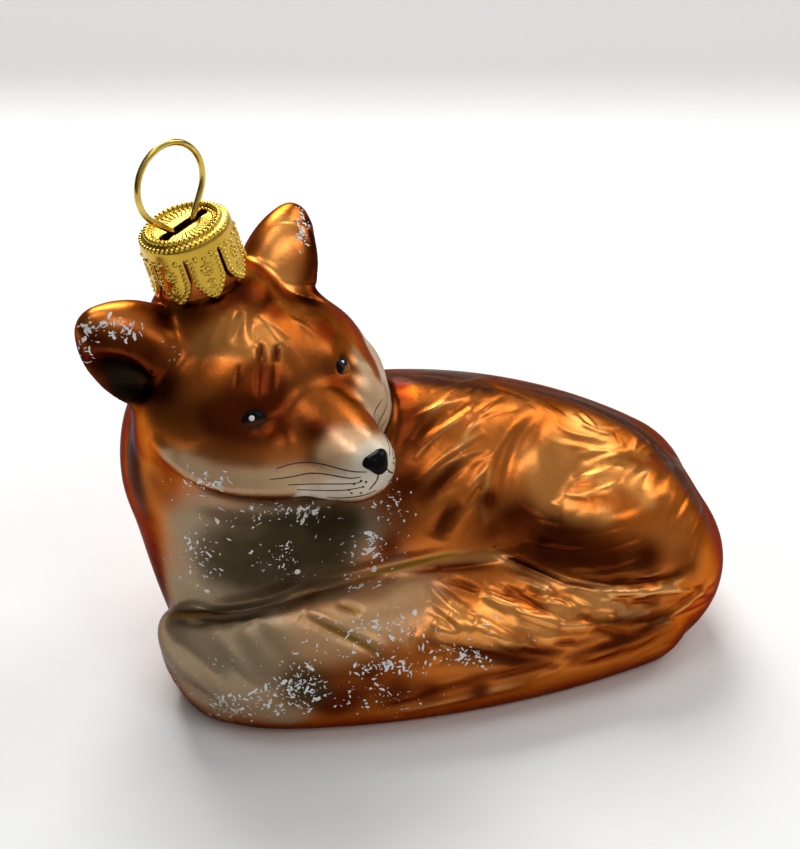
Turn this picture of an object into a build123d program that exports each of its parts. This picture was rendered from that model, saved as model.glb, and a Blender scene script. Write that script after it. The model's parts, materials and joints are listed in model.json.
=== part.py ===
"""Blown-glass fox ornament: a hollow glass fox lying curled, a stamped crown cap over its neck
and a sprung wire hanger through the cap's slot.

Millimetres, +Z up. The origin is on the flat that the fox rests on. +X runs along the body from
the head to the rump, and the tail lies along the front, on the -Y side.
"""
from build123d import *
import math
import os

# Blown shell
WALL = 0.9

# Body forms. An egg has a centre for each of its two round ends, their radii, the radius of the
# curve that joins them, and its width across as a share of its height.
TORSO_ENDS = ((-17.0, -3.0, 21.1), (29.5, -7.9, 12.7))
TORSO_RADII = (19.4, 16.2)
TORSO_SWELL = 92.0
TORSO_SHARE = 0.86
TAIL_ENDS = ((-33.0, -17.0, 7.5), (28.2, -23.3, 6.9))
TAIL_RADII = (10.0, 10.4)
TAIL_SWELL = 176.0
TAIL_SHARE = 1.15
CHEST_ENDS = ((-26.0, -8.0, 7.0), (-26.6, -1.5, 34.0))
CHEST_RADII = (12.0, 16.0)
CHEST_SWELL = 120.0
CHEST_SHARE = 1.05
HAUNCH_CENTRE = (24.4, -16.9, 11.1)
HAUNCH_HALF = (21.2, 16.0, 17.7)
HAUNCH_TURN = -27.5
RUMP_ENDS = ((27.0, -8.5, 13.0), (30.0, -17.0, 11.5))
RUMP_RADII = (16.3, 14.8)
RUMP_SWELL = 80.0
RUMP_SHARE = 1.0

# Head: its frame sits between the eyes, turned to look out over the tail and rolled a little
HEAD_PLACE = (-19.4, -12.0, 46.3)
HEAD_YAW = -65.0
HEAD_ROLL = 7.0

# Head forms in the head's frame: forward, left, up
SKULL_CENTRE = (-10.4, 0.0, -4.2)
SKULL_HALF = (14.0, 19.0, 13.1)
FOREHEAD_ENDS = ((-13.0, 0.0, 5.0), (-3.5, 0.0, 0.0))
FOREHEAD_RADII = (7.6, 5.8)
FOREHEAD_SWELL = 40.0
FOREHEAD_SHARE = 1.3
CHEEK_ENDS = ((0.0, 6.5, -6.5), (-7.0, 11.5, -7.0))
CHEEK_RADII = (7.5, 7.5)
CHEEK_SWELL = 60.0
CHEEK_SHARE = 1.0
MUZZLE_ENDS = ((-4.0, 0.0, -5.5), (10.5, 0.0, -7.6))
MUZZLE_RADII = (9.0, 5.0)
MUZZLE_SWELL = 60.0
MUZZLE_SHARE = 1.1
EAR_ENDS = ((-16.5, 11.1, 4.6), (-18.6, 17.3, 11.9))
EAR_RADII = (7.0, 3.6)
EAR_SWELL = 14.8
EAR_SHARE = 0.73
EAR_TURN = -12.0
EAR_HOLLOW_HALF = (6.5, 2.6, 4.2)
EAR_HOLLOW_OUT = 5.2
EAR_HOLLOW_TURN = 40.0

# Wire that the hanger is bent from
WIRE = 0.9

# Crown cap, stamped from sheet
CAP_RADIUS = 6.5
CAP_SHEET = 0.35
CAP_HEIGHT = 8.8
CAP_EDGE = 0.9
CAP_BAND = 2.0
CAP_FLARE = 0.25
PETAL_COUNT = 8
PETAL_GAP = 0.6
PETAL_POINT = 3.0
ROPE_INSET = 1.4
ROPE_WIRE = 0.35
ROPE_RADIUS = CAP_RADIUS - ROPE_INSET
SLOT_MARGIN = 0.45
SLOT_PLAY = 0.9
SLOT_LENGTH = 2 * (ROPE_RADIUS - ROPE_WIRE - SLOT_MARGIN)
SLOT_WIDTH = WIRE + SLOT_PLAY

# Neck that the cap covers: its root, how it leans towards the head's right, and the room
# left inside the cap, above the rim and under the petals' points
NECK_ROOT = (-27.4, 1.4, 54.0)
NECK_LEAN = 14.0
NECK_TURN = 27.0
CAP_PLAY = 0.55
CAP_SEAT = 0.1
PETAL_STAND = 5.25
CROWN_GAP = 0.37
CROWN_OUT = 3.0
NECK_RADIUS = CAP_RADIUS - CAP_SHEET - CAP_PLAY
NECK_HEIGHT = PETAL_STAND + CAP_HEIGHT - CAP_SHEET - CAP_SEAT
CROWN_RADIUS = CAP_RADIUS + CROWN_OUT
PETAL_SHARE = (CAP_RADIUS - CAP_SHEET) / CROWN_RADIUS
CROWN_HEIGHT = (PETAL_STAND - CROWN_GAP) / math.sqrt(1 - PETAL_SHARE**2)

# Wire hanger
LOOP_RADIUS = 5.6
LOOP_PINCH = 40.0
WAIST_HALF = 1.8
WAIST_BEND = 1.6
LEG_LENGTH = 11.0
LEG_PLAY = 0.75
FOOT_HALF = NECK_RADIUS - WALL - WIRE / 2 - LEG_PLAY
HANGER_TILT = 5.0

# Enamel drops on the face, in the head's frame
EYE_PLACE = (1.2, 7.9, 0.85)
EYE_TURN = 38.0
EYE_HALF = (1.2, 1.8, 1.5)
NOSE_PLACE = (14.3, 0.0, -5.0)
NOSE_HALF = (1.6, 2.6, 2.1)

BIG = 200.0


def egg(ends, radii, swell, share, turn=0.0, inset=0.0):
    """Round form between two ends: two balls joined by one outward curve, turned about the line
    through them, then squeezed across to its share. An inset draws the whole surface inwards."""
    span = (Vector(*ends[1]) - Vector(*ends[0])).length
    first, second = radii[0] - inset, radii[1] - inset
    big, small = swell - inset - first, swell - inset - second
    middle = (span**2 - small**2 + big**2) / (2 * span)
    depth = math.sqrt(big**2 - middle**2)
    leave = (-first * middle / big, first * depth / big)
    arrive = (span + second * (span - middle) / small, second * depth / small)
    outline = [
        RadiusArc((-first, 0), leave, first),
        RadiusArc(leave, arrive, swell - inset),
        RadiusArc(arrive, (span + second, 0), second),
        Line((span + second, 0), (-first, 0)),
    ]
    width = (share * radii[0] - inset) / first
    round_form = scale(revolve(make_face(outline), Axis.X), by=(1, width, 1))
    return egg_frame(ends, turn) * round_form


def egg_frame(ends, turn):
    """Location at an egg's first end: x towards the other end, y level before the turn."""
    heading = Vector(*ends[1]) - Vector(*ends[0])
    level = Vector(0, 0, 1).cross(heading)
    across = level if level.length > heading.length / 2 else Vector(0, 1, 0)
    plane = Plane(origin=ends[0], x_dir=heading, z_dir=heading.cross(across))
    return plane.location * Rot(turn, 0, 0)


def ellipsoid(half, inset=0.0):
    return scale(Sphere(1), by=tuple(length - inset for length in half))


def head_frame():
    """Location between the eyes: x forward along the muzzle, y to the fox's left, z up."""
    return Pos(*HEAD_PLACE) * Rot(0, 0, HEAD_YAW) * Rot(HEAD_ROLL, 0, 0)


def neck_frame():
    """Location at the neck's root: z along the neck, x along the cap's slot, ear to ear."""
    return Pos(*NECK_ROOT) * Rot(0, -NECK_LEAN, 0) * Rot(0, 0, NECK_TURN)


def cap_frame():
    """Location at the middle of the cap's top face, z out of it, x along the slot."""
    return neck_frame() * Pos(0, 0, NECK_HEIGHT + CAP_SEAT + CAP_SHEET)


def body_forms(inset):
    haunch = Pos(*HAUNCH_CENTRE) * Rot(0, 0, HAUNCH_TURN) * ellipsoid(HAUNCH_HALF, inset)
    return [
        egg(TORSO_ENDS, TORSO_RADII, TORSO_SWELL, TORSO_SHARE, inset=inset),
        egg(TAIL_ENDS, TAIL_RADII, TAIL_SWELL, TAIL_SHARE, inset=inset),
        egg(CHEST_ENDS, CHEST_RADII, CHEST_SWELL, CHEST_SHARE, inset=inset),
        haunch,
        egg(RUMP_ENDS, RUMP_RADII, RUMP_SWELL, RUMP_SHARE, inset=inset),
    ]


def ear(inset):
    """The left ear in the head's frame, with a shallow hollow in its outer side."""
    blade = egg(EAR_ENDS, EAR_RADII, EAR_SWELL, EAR_SHARE, EAR_TURN, inset)
    along = (Vector(*EAR_ENDS[1]) - Vector(*EAR_ENDS[0])).length / 2
    hollow = Pos(along, -EAR_HOLLOW_OUT, 0) * ellipsoid(EAR_HOLLOW_HALF, -inset)
    return blade - egg_frame(EAR_ENDS, EAR_HOLLOW_TURN) * hollow


def head_forms(inset):
    skull = Pos(*SKULL_CENTRE) * ellipsoid(SKULL_HALF, inset)
    brow = egg(FOREHEAD_ENDS, FOREHEAD_RADII, FOREHEAD_SWELL, FOREHEAD_SHARE, inset=inset)
    muzzle = egg(MUZZLE_ENDS, MUZZLE_RADII, MUZZLE_SWELL, MUZZLE_SHARE, inset=inset)
    cheek = egg(CHEEK_ENDS, CHEEK_RADII, CHEEK_SWELL, CHEEK_SHARE, inset=inset)
    left_ear = ear(inset)
    sides = [cheek, mirror(cheek, Plane.XZ), left_ear, mirror(left_ear, Plane.XZ)]
    return [head_frame() * form for form in [skull, brow, muzzle, *sides]]


def neck_forms(inset, height):
    """The neck's tube and the crown of the head that swells up around its root."""
    tube = Cylinder(NECK_RADIUS - inset, height, align=(Align.CENTER, Align.CENTER, Align.MIN))
    crown = ellipsoid((CROWN_RADIUS, CROWN_RADIUS, CROWN_HEIGHT), inset)
    return [neck_frame() * tube, neck_frame() * crown]


def above(solid, floor):
    """What of a solid lies above a level floor."""
    slab = Pos(0, 0, floor) * Box(BIG, BIG, BIG, align=(Align.CENTER, Align.CENTER, Align.MAX))
    return solid - slab


def outer_forms():
    return [*body_forms(0), *head_forms(0), *neck_forms(0, NECK_HEIGHT)]


def inner_forms():
    return [*body_forms(WALL), *head_forms(WALL), *neck_forms(WALL, NECK_HEIGHT + WALL)]


def fused(forms):
    return forms[0].fuse(*forms[1:])


def make_cap():
    """Cap with its top face at z 0: a stamped disc and skirt, the skirt cut into petals."""
    inner = CAP_RADIUS - CAP_SHEET
    foot = CAP_RADIUS + CAP_FLARE
    profile = make_face(
        [
            Line((0, 0), (CAP_RADIUS - CAP_EDGE, 0)),
            RadiusArc((CAP_RADIUS - CAP_EDGE, 0), (CAP_RADIUS, -CAP_EDGE), CAP_EDGE),
            Line((CAP_RADIUS, -CAP_EDGE), (foot, -CAP_HEIGHT)),
            Line((foot, -CAP_HEIGHT), (foot - CAP_SHEET, -CAP_HEIGHT)),
            Line((foot - CAP_SHEET, -CAP_HEIGHT), (inner, -CAP_EDGE)),
            RadiusArc((inner, -CAP_EDGE), (CAP_RADIUS - CAP_EDGE, -CAP_SHEET), CAP_SHEET - CAP_EDGE),
            Line((CAP_RADIUS - CAP_EDGE, -CAP_SHEET), (0, -CAP_SHEET)),
            Line((0, -CAP_SHEET), (0, 0)),
        ]
    )
    shell = revolve(Plane.XZ * profile, Axis.Z)
    half = math.pi * CAP_RADIUS / PETAL_COUNT - PETAL_GAP / 2
    shoulder = -(CAP_HEIGHT - PETAL_POINT)
    petal = make_face(
        [
            Line((-half, -CAP_BAND / 2), (half, -CAP_BAND / 2)),
            Line((half, -CAP_BAND / 2), (half, shoulder)),
            RadiusArc((half, shoulder), (0, -CAP_HEIGHT), PETAL_POINT * 1.5),
            RadiusArc((0, -CAP_HEIGHT), (-half, shoulder), PETAL_POINT * 1.5),
            Line((-half, shoulder), (-half, -CAP_BAND / 2)),
        ]
    )
    blank = extrude(Plane.XZ * petal, foot + 1)
    band = Cylinder(foot + 1, CAP_BAND, align=(Align.CENTER, Align.CENTER, Align.MAX))
    petals = [Rot(0, 0, 360 * (k + 0.5) / PETAL_COUNT) * blank for k in range(PETAL_COUNT)]
    cap = shell & fused([band, *petals])
    cap = cap + Torus(ROPE_RADIUS, ROPE_WIRE)
    slot = SlotOverall(SLOT_LENGTH, SLOT_WIDTH)
    return cap - extrude(slot, CAP_SHEET * 2, both=True)


def make_hanger():
    """Wire hanger standing in the cap's slot: a round loop, a waist in the slot and two legs."""
    pinch = math.radians(LOOP_PINCH)
    reach = (LOOP_RADIUS * math.cos(pinch) - WAIST_HALF) / math.sin(pinch)
    touch = (LOOP_RADIUS * math.cos(pinch), reach * math.cos(pinch))
    centre = touch[1] + LOOP_RADIUS * math.sin(pinch)
    right = FilletPolyline((FOOT_HALF, -LEG_LENGTH), (WAIST_HALF, 0), touch, radius=WAIST_BEND)
    loop = ThreePointArc(touch, (0, centre + LOOP_RADIUS), (-touch[0], touch[1]))
    path = Plane.XZ * (right + loop + mirror(right, Plane.YZ))
    section = Plane(origin=path @ 0, z_dir=path % 0) * Circle(WIRE / 2)
    return sweep(section, path)


def bead(place, turn, half, skin):
    """Enamel drop on the face: the part of a small ellipsoid that stands proud of the glass."""
    drop = head_frame() * Pos(*place) * Rot(0, 0, turn) * ellipsoid(half)
    return drop - skin


def main():
    skin = above(fused(outer_forms()), 0)
    cavity = above(fused(inner_forms()), WALL)
    forward, left, up = EYE_PLACE
    nodes = {
        "glass_body": skin - cavity,
        "left_eye": bead((forward, left, up), EYE_TURN, EYE_HALF, skin),
        "right_eye": bead((forward, -left, up), -EYE_TURN, EYE_HALF, skin),
        "nose": bead(NOSE_PLACE, 0, NOSE_HALF, skin),
        "cap": cap_frame() * make_cap(),
        "hanger": cap_frame() * Rot(HANGER_TILT, 0, 0) * make_hanger(),
    }
    os.makedirs("parts", exist_ok=True)
    for name, solid in nodes.items():
        export_step(solid, f"parts/{name}.step")


if __name__ == "__main__":
    main()
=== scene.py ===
"""Looks of a blown-glass fox ornament: silvered glass under satin copper lacquer, airbrushed and
flecked with white, with a stamped gold cap and a wire hanger. Metres, in the part's own frame.
"""
import json
import math
import random

import bmesh
import bpy
import numpy as np
from mathutils import Matrix, Vector
from mathutils.bvhtree import BVHTree
from mathutils.kdtree import KDTree


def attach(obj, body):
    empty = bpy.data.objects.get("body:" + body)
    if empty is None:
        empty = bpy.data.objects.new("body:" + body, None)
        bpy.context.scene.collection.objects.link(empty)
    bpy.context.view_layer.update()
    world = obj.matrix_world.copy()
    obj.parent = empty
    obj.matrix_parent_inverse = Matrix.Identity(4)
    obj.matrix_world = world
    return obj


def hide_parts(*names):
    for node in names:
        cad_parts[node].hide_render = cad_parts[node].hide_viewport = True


MM = 0.001
# Vertices of a solid's mesh that are closer than this are one
WELD = 0.002 * MM

# Camera, and the size of its picture in pixels
PICTURE = (800, 849)
AZIMUTH = -20.0
ELEVATION = 32.0
DISTANCE = 240 * MM
FOCAL = 1566.0
TARGET = np.array([0.0, 0.0, 30.0]) * MM
SENSOR = 36.0

# Head frame, between the eyes: forward, left, up
HEAD_PLACE = np.array([-19.4, -12.0, 46.3]) * MM
HEAD_YAW = -65.0
HEAD_ROLL = 7.0

# Glass mesh: its grain, its softening, and the neck that stays as it is
GLASS_VOXEL = 0.31 * MM
SOFTEN_STEPS = 12
NORMALS_EVERY = 4
CREASE_STEPS = 45
CREASE_PULL = 0.008 * MM
HEAD_CREASE_STEPS = 120
HEAD_REACH = 30 * MM
RIM_BAND = 0.05 * MM
BORE_RADIUS = 4.7 * MM
BORE_DEPTH = 24 * MM
NECK_REACH = 7.4 * MM
NECK_DROP = 9.4 * MM

# Moulded relief: height and width in millimetres, then the strokes that have them, in picture points
HAUNCH_STROKES = (
    (0.4, 1.1, ((534, 408), (507, 432), (493, 463), (488, 482), (484, 505), (486, 532), (494, 550))),
    (-0.6, 1.6, ((548, 412), (522, 432), (508, 462), (503, 495), (506, 530), (520, 556))),
    (0.45, 2.2, ((556, 408), (538, 430), (541, 470), (552, 505), (566, 521))),
    (0.5, 2.2, ((560, 520), (595, 521), (627, 515), (652, 500), (670, 484), (678, 460))),
    (0.1, 0.5, ((552, 418), (562, 430), (580, 436), (600, 436))),
    (0.18, 0.5, ((574, 414), (588, 429), (615, 435))),
    (0.15, 0.45, ((580, 411), (596, 427))),
    (0.18, 0.55, ((575, 455), (600, 452), (625, 444)), ((571, 478), (595, 475), (621, 465))),
    (0.2, 0.6, ((566, 496), (590, 494), (612, 487), (624, 480))),
    (0.14, 0.55, ((548, 504), (563, 507))),
    (0.15, 0.5, ((638, 436), (631, 458))),
    (0.16, 0.55, ((652, 467), (639, 491))),
    (-0.2, 0.45, ((509, 498), (532, 516), (564, 525)), ((517, 540), (550, 551), (604, 550), (641, 537)),
        ((574, 571), (604, 572), (629, 566), (647, 556))),
    (-0.18, 0.42, ((570, 533), (598, 533), (625, 525))),
    (-0.14, 0.6, ((672, 520), (686, 500), (690, 475)), ((690, 540), (702, 520), (704, 500))),
)
FLANK_STROKES = (
    (0.15, 0.45, ((409, 421), (437, 406), (468, 397)), ((412, 488), (437, 462), (457, 447), (486, 432)),
        ((419, 486), (445, 467), (470, 453), (491, 449))),
    (0.18, 0.55, ((414, 460), (432, 437), (455, 421), (480, 409))),
    (-0.4, 1.5, ((418, 505), (446, 477), (462, 456))),
    (-0.4, 1.4, ((434, 537), (444, 520), (457, 504))),
    (-0.22, 1.2, ((420, 440), (440, 420), (470, 408))),
    (0.25, 1.0, ((447, 535), (462, 510), (480, 490))),
    (-0.12, 0.4, ((404, 374), (430, 374), (455, 381)), ((425, 373), (452, 377), (478, 388)),
        ((470, 382), (500, 388), (528, 399)), ((520, 388), (560, 399), (600, 411)),
        ((560, 396), (590, 406), (622, 424)), ((610, 416), (632, 428), (652, 448)),
        ((650, 444), (666, 460), (674, 480))),
)
TAIL_STROKES = (
    (-0.7, 1.3,
        ((166, 612), (207, 614), (250, 606), (290, 595), (327, 586), (367, 574), (407, 562), (457, 551))),
    (0.5, 0.9,
        ((437, 566), (487, 556), (505, 559), (535, 572), (565, 585), (612, 593), (650, 590), (688, 578)),
        ((449, 616), (475, 630), (494, 646))),
    (-0.45, 1.3, ((490, 549), (512, 555), (545, 573), (575, 582), (630, 585), (678, 573))),
    (0.4, 0.8, ((480, 594), (520, 610), (557, 626)), ((432, 624), (459, 639)),
        ((538, 591), (560, 607), (577, 616))),
    (-0.35, 0.7, ((490, 588), (530, 604), (565, 620))),
    (-0.4, 0.8, ((548, 588), (575, 606), (592, 616)), ((585, 622), (612, 632), (632, 637))),
    (0.4, 0.9, ((575, 590), (595, 600), (617, 610), (652, 607))),
    (-0.3, 0.8, ((600, 597), (630, 604), (662, 600)), ((560, 668), (610, 660), (660, 640))),
    (0.3, 0.8, ((613, 592), (645, 596), (682, 586))),
    (-0.9, 1.3, ((414, 642), (450, 645), (500, 655), (540, 660), (582, 662))),
    (0.55, 1.0, ((474, 622), (500, 636), (525, 648))),
    (0.5, 1.0, ((412, 634), (430, 648), (442, 658))),
    (0.35, 1.0, ((585, 656), (625, 646), (677, 622))),
    (-0.3, 0.9, ((372, 712), (440, 693), (507, 672), (560, 666))),
    (0.3, 0.9, ((400, 712), (460, 697), (530, 682))),
    (-0.28, 0.9, ((300, 615), (337, 632), (370, 647), (391, 664))),
    (0.2, 0.8, ((306, 611), (342, 627), (378, 645), (396, 660))),
    (-0.15, 0.8, ((337, 603), (362, 613))),
    (-0.26, 1.6, ((200, 632), (230, 676), (250, 705)), ((228, 626), (250, 662), (268, 690))),
    (-0.24, 1.5, ((250, 622), (275, 650), (295, 672))),
    (-0.2, 1.4, ((182, 650), (200, 685), (215, 706))),
    (0.2, 1.5, ((215, 634), (240, 672), (258, 698))),
    (0.22, 0.6, ((718, 575), (696, 600), (640, 634))),
    (-0.22, 0.6, ((710, 580), (680, 607), (640, 626))),
)
HEAD_STROKES = (
    (1.5, 2.4, ((299, 222), (304, 240), (306, 258), (306, 274), (307, 288), (310, 298))),
    (0.14, 0.55, ((238, 308), (231, 325), (226, 346))),
    (0.12, 0.5, ((247, 311), (245, 325), (243, 342)), ((258, 316), (272, 324), (290, 338))),
    (0.16, 0.6, ((255, 316), (267, 327), (280, 345))),
    (0.08, 0.5, ((222, 318), (214, 332), (208, 346))),
    (0.1, 0.6, ((290, 318), (304, 326), (318, 338))),
    (-0.14, 0.5, ((243, 312), (238, 328), (234, 346)), ((252, 322), (254, 335), (254, 348))),
    (-0.24, 0.45, ((260, 343), (260, 352), (260, 361))),
    (-0.22, 0.45, ((277, 344), (277, 352), (276, 361))),
    (-0.1, 0.35, ((259, 360), (258, 378), (257, 399)), ((276, 360), (275, 377), (274, 392)),
        ((239, 364), (238, 376), (236, 389))),
    (-0.12, 0.5, ((130, 430), (131, 455), (136, 478)), ((140, 455), (143, 480), (150, 500)),
        ((128, 470), (133, 495), (142, 515))),
)
# The jaw's edge and the throat under it, given on the right side and repeated on the left
JAW_STROKES = (
    (0.7, 1.2, ((150, 440), (168, 456), (195, 477), (228, 488), (262, 489), (292, 490), (330, 496))),
    (-0.7, 2.2, ((150, 462), (175, 482), (205, 500), (240, 508), (275, 509), (305, 511), (335, 514))),
)
# Presses on the face, given on its right side and repeated on its left: picture point, height and radius
HEAD_PRESSES = (
    (255, 420, -0.28, 2.6), (238, 428, 0.15, 1.6), (262, 404, 0.3, 2.4), (352, 470, 0.35, 3.5),
    (380, 466, 0.35, 3.0),
)
# Presses on one side alone: the near ear's inner valley, the neck, the tail's tip and the rump
SIDE_PRESSES = (
    (167, 345, 1.0, 2.8), (164, 370, 0.9, 2.6), (136, 488, 1.2, 6.0), (180, 622, 2.0, 5.0),
    (180, 642, 1.0, 5.0), (172, 694, -2.3, 6.5), (206, 714, -1.8, 6.0), (670, 462, 0.6, 4.0),
    (682, 478, 0.6, 3.0),
)
# Strokes narrower than this colour the lacquer, with painted highlight on their crests and painted shade in
# their furrows
FINE_WIDTH = 1.0
# How far a stroke reaches to its sides, in widths
STROKE_REACH = 2.5

# Rows of fine fur: first and last start on the picture, slant there in degrees, length in pixels, how
# many, and their height in millimetres
FUR_ROWS = (
    ((428, 580), (690, 590), 34, -14, 58, 40, 0.2),
    ((425, 606), (650, 612), 34, -8, 54, 34, 0.2),
    ((440, 630), (560, 640), 30, 8, 44, 14, 0.2),
    ((372, 708), (640, 655), -13, -26, 74, 24, 0.10),
    ((406, 450), (452, 392), -52, -18, 62, 14, 0.11),
    ((420, 500), (470, 430), -56, -34, 54, 14, 0.11),
    ((436, 545), (478, 480), -62, -52, 44, 10, 0.11),
    ((556, 424), (566, 500), 22, -8, 62, 12, 0.06),
    ((604, 424), (622, 500), 4, -36, 46, 10, 0.07),
    ((520, 530), (560, 566), 18, 4, 84, 10, 0.08),
    ((640, 470), (690, 560), -62, -70, 44, 12, 0.07),
)
ROW_WIDTH = (0.38, 0.6)
ROW_WANDER = 7.0
ROW_JITTER = 0.4
ROW_TURN = 5.0
ROW_BEND = 0.12
ROW_LENGTHS = (0.55, 1.15)
ROW_HEIGHTS = (0.5, 1.2)

# Fur on the sides that face away: its strokes, then where they start, in millimetres, and how they dip
FUR_HEIGHT = 0.26
FUR_WIDTH = 1.0
FUR_LENGTH = (7.0, 15.0)
FUR_STEPS = 8
FUR_BEND = (-0.35, 0.1)
BACK_FUR = 95
BACK_X, BACK_Y, BACK_Z = (-36, 34), 40.0, (6, 36)
BACK_DIP = (-0.45, 0.1)
RUMP_FUR = 26
RUMP_X, RUMP_Y, RUMP_Z = 60.0, (-20, 8), (5, 26)
RUMP_LEAN = -0.6
RUMP_DIP = (-0.9, -0.3)

# Airbrushed paint, with painted highlight and painted shade among it: a dab's radius or a line's width in
# millimetres, then the picture points where it goes. Dabs of a strength under 1 add up where they overlap
CREAM = (
    (1.5, (168, 456)),
    (1.8, (184, 463)),
    (2.2, (200, 472)),
    (2.5, (222, 480), (245, 483)),
    (2.4, (268, 482), (290, 481), (372, 470)),
    (2.6, (312, 482)),
    (2.8, (335, 482), (356, 478)),
    (1.6, (354, 462)),
)
FAR_CREAM = (
    (1.6, (364, 366)),
    (2.2, (371, 382), (374, 409)),
    (2.4, (374, 396)),
)
# White on the chin and muzzle, with a painted highlight near the nose
CHALK_AND_HIGHLIGHT = (
    (1.8, (304, 494), (365, 456)),
    (2, (322, 497), (384, 468)),
    (2.2, (335, 491)),
    (2.6, (352, 489), (377, 478)),
    (2.8, (366, 484)),
)
# Painted highlights on the haunch, the tail's crests, the forehead and the far ear
PAINTED_HIGHLIGHT = (
    (2.4, (576, 420), (622, 466), (590, 462), (536, 460), (490, 646), (214, 338)),
    (2.6, (594, 430), (560, 445), (566, 470), (540, 480), (272, 264)),
    (2.8, (606, 448), (472, 632)),
    (2, (606, 482), (638, 486), (544, 502), (578, 518), (512, 618), (492, 608), (452, 612), (560, 612),
        (285, 280)),
    (2.2, (638, 455), (552, 462), (554, 484), (560, 504), (280, 243), (236, 326), (258, 334), (232, 346)),
    (1.6, (648, 500), (408, 640), (432, 626)),
    (1.8, (604, 516), (580, 602), (534, 626), (287, 222), (276, 345), (202, 346), (252, 348)),
    (1.5, (445, 640), (548, 636), (604, 612)),
)
# Painted highlights along the crests of moulded strokes
PAINTED_HIGHLIGHT_LINES = (
    (0.5, ((238, 308), (231, 325), (226, 346)), ((255, 316), (267, 327), (281, 346)),
        ((538, 591), (560, 607), (577, 616)), ((432, 624), (459, 639)),
        ((566, 496), (590, 494), (612, 487), (624, 480)),
        ((493, 463), (488, 482), (484, 505), (486, 532)),
        ((505, 561), (535, 574), (565, 587), (612, 595))),
    (0.45, ((247, 311), (245, 325), (243, 342)), ((575, 455), (600, 452), (625, 444)),
        ((571, 478), (595, 475), (621, 465))),
    (0.4, ((228, 312), (219, 328), (212, 345)), ((262, 318), (276, 330), (291, 344))),
    (0.6, ((449, 616), (475, 630), (496, 648)), ((474, 622), (500, 636), (525, 648))),
    (0.55, ((480, 594), (520, 610), (557, 626))),
    (0.7, ((400, 566), (440, 556), (487, 552), (505, 557))),
)
# Pale peach on the muzzle's bridge, partly a painted highlight near the nose
PEACH_AND_HIGHLIGHT = (
    (2.4, (347, 442)),
    (2.8, (360, 448)),
    (1.9, (328, 457)),
    (2, (370, 440)),
)
TAUPE_STRENGTH = 0.7
TAUPE = (
    (3.6, (190, 524)),
    (5, (194, 552), (188, 592), (240, 596), (345, 540), (262, 690)),
    (6, (205, 590), (212, 570), (255, 575), (300, 560), (225, 620)),
    (7, (230, 535), (275, 530), (245, 650), (195, 690)),
    (6.5, (315, 530)),
    (8, (185, 640), (215, 680), (172, 650)),
    (4, (285, 715), (370, 530)),
    (3.5, (206, 502)),
)
# Dark olive on the chest and the tail's tip, partly painted shade under the jaw
MOSS_AND_SHADE_STRENGTH = 0.5
MOSS_AND_SHADE = (
    (4.2, (232, 540), (237, 556), (332, 528), (318, 530)),
    (4.6, (250, 535), (335, 540), (285, 548)),
    (5.4, (280, 535), (310, 530)),
    (5.2, (300, 560)),
    (4.8, (265, 560)),
    (3.4, (345, 520), (340, 558), (208, 552), (330, 572), (246, 580), (296, 692), (305, 690)),
    (4, (320, 517)),
    (4.4, (312, 544)),
    (3.6, (216, 572), (302, 578), (274, 580)),
    (3, (314, 688)),
    (2.8, (300, 686)),
)
# Painted shade in the valley between the chest and the tail's tip
CREASE_SHADE_LINES = (
    (1.0, ((166, 612), (215, 613), (262, 605), (290, 597))),
    (1.2, ((168, 620), (205, 624), (240, 621), (270, 612))),
)
BLUSH_STRENGTH = 0.6
BLUSH = (
    (4, (265, 640), (424, 590), (380, 620), (350, 624), (316, 640)),
    (4.5, (295, 630), (385, 604)),
    (5, (325, 622), (355, 612)),
    (3.5, (345, 640)),
    (1.8, (395, 560)),
    (2.4, (300, 714)),
    (2.2, (330, 596), (356, 590), (363, 363)),
    (1.6, (356, 352), (364, 392)),
    (4.6, (404, 598)),
)
# Dark brown round the eyes and on the near ear, with painted shade under the cap, in creases, beside the
# face and on the lower haunch and tail
UMBER_AND_SHADE = (
    (2.8, (230, 418), (255, 424), (236, 402), (272, 404)),
    (2, (278, 428), (212, 416), (262, 296), (276, 312), (248, 287), (222, 298), (318, 428), (490, 500)),
    (3, (255, 394), (402, 400), (88, 362), (160, 385), (130, 350)),
    (1.6, (480, 690)),
    (4, (520, 522), (530, 560), (345, 694), (395, 690)),
    (4.4, (545, 546)),
    (4.2, (575, 550), (610, 556)),
    (3.2, (645, 558), (96, 346), (118, 390)),
    (2.4, (370, 678), (388, 548), (398, 384), (165, 322), (264, 376), (494, 530)),
    (3.5, (330, 700), (408, 480), (403, 440)),
    (2.6, (408, 420), (145, 356), (430, 692), (266, 416), (196, 312)),
    (3.6, (150, 372)),
    (3.4, (104, 372)),
    (1.8, (240, 294)),
    (2.2, (308, 301), (327, 330), (340, 384)),
)
# Painted shade, thinner than the umber, in wide soft passes
SHADE_STRENGTH = 0.6
SHADE = (
    (3.6, (190, 414), (248, 288), (346, 394), (428, 428)),
    (5, (225, 425), (265, 374), (474, 540)),
    (4.5, (300, 340), (325, 366), (300, 400)),
    (4, (262, 416), (296, 424), (324, 328), (200, 364), (388, 498), (402, 524), (520, 672), (470, 684),
        (655, 620), (165, 490)),
    (3.4, (222, 297)),
    (2.6, (625, 636)),
    (3, (168, 470), (690, 565)),
    (2.3, (149, 518), (152, 533), (155, 548), (158, 563), (160, 578), (163, 593)),
)
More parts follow.
